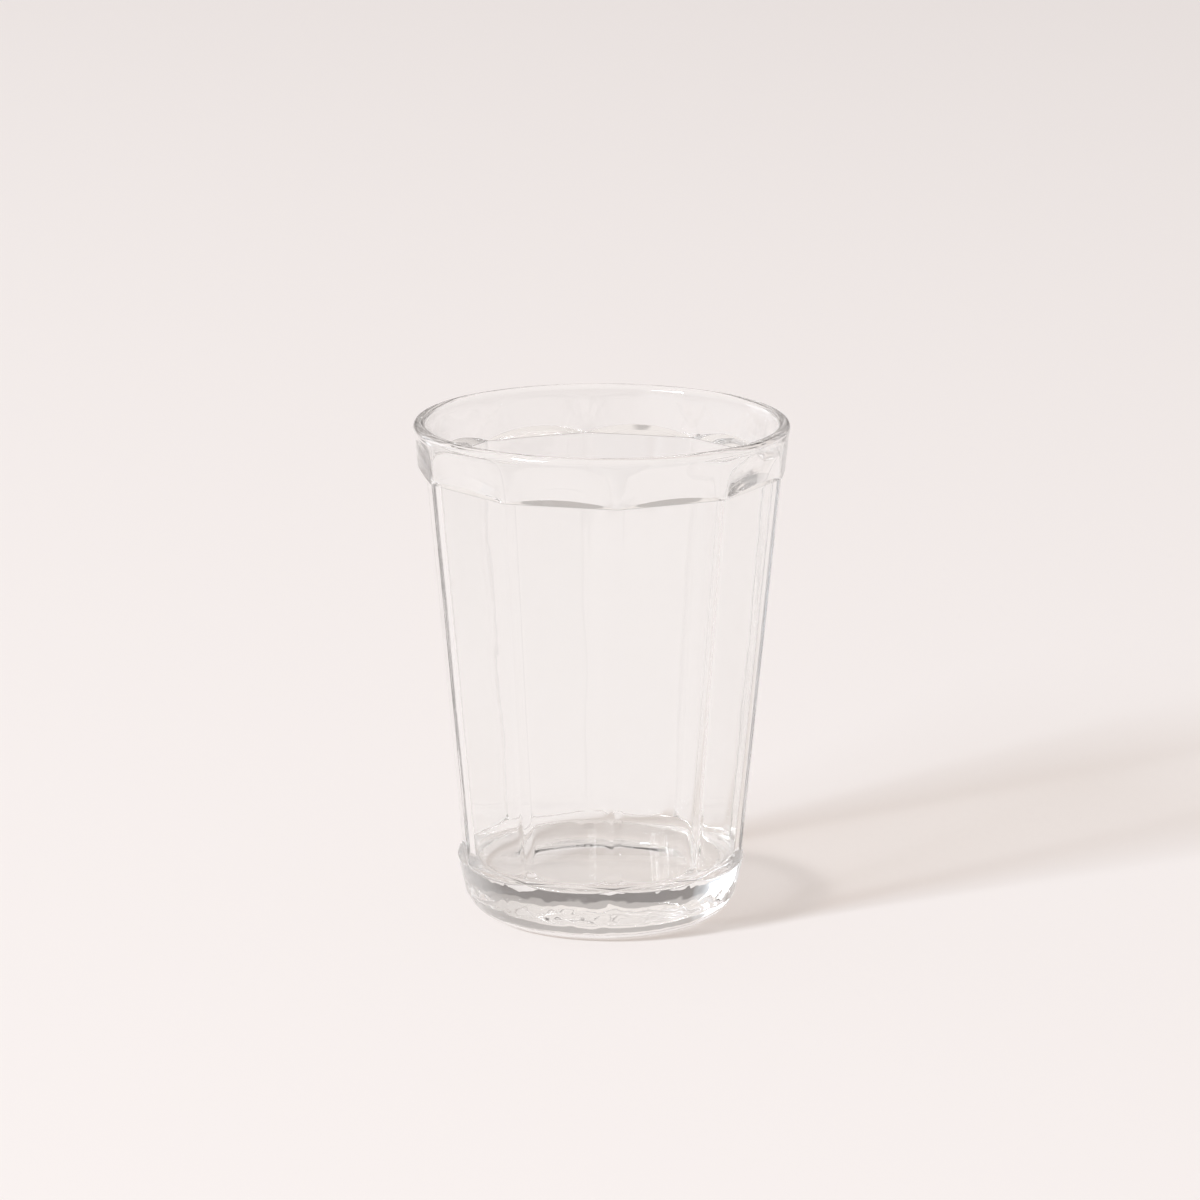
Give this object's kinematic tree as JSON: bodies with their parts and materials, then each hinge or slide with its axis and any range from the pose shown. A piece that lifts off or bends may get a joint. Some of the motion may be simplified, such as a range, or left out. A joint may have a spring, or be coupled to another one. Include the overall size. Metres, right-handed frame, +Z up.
{
  "type": "juice glass",
  "caption": "Clear pressed-glass juice tumbler: flat panels round a flared body, a plain band under a rounded lip, and a thick round foot.",
  "frame": {"origin": "centre of the foot's underside, on the plane that the glass stands on", "axes": "+Z up along the glass's axis towards the mouth, +X out through the middle of one panel"},
  "size_m": [0.07, 0.07, 0.0943],
  "materials": {
    "clear_glass": "clear, fire polished, slightly wavy"
  },
  "bodies": {
    "root": {"tumbler": "clear_glass"}
  },
  "joints": []
}
